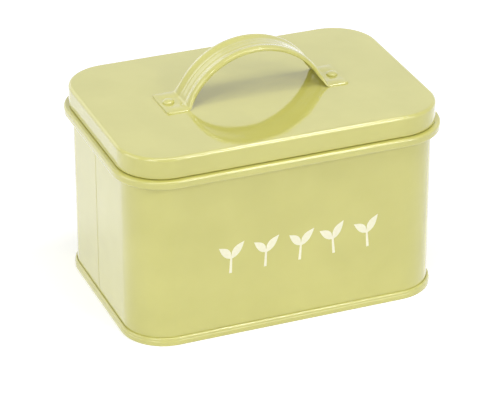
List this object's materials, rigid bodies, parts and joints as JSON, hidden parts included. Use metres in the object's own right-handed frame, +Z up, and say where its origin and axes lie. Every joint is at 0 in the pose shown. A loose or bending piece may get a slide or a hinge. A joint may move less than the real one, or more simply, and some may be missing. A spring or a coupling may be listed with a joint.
{
  "type": "seed storage tin",
  "caption": "Rectangular painted-steel seed tin with rounded corners, a swaged bead, a seamed base and a lift-off slip lid with a riveted, fluted strap handle.",
  "frame": {"origin": "middle of the footprint, on the surface that the tin stands on", "axes": "+Z up; +X along the tin's length and the handle, to the right as the tin faces the user; -Y is the front"},
  "size_m": [0.1574, 0.1092, 0.1194],
  "materials": {
    "wall_paint": "gloss",
    "base_paint": "gloss",
    "lid_paint": "gloss",
    "handle_paint": "gloss",
    "rivet_paint": "gloss",
    "cream_print": "gloss"
  },
  "bodies": {
    "tin": {"body_wall": "wall_paint", "base_pan": "base_paint"},
    "lid": {"lid_pan": "lid_paint", "handle_strap": "handle_paint", "rivet_left": "rivet_paint", "rivet_right": "rivet_paint"}
  },
  "joints": [
    {"name": "lid_lift", "type": "slide", "parent": "tin", "child": "lid", "axis": [0, 0, 1], "range_m": [0, 0.06]}
  ]
}
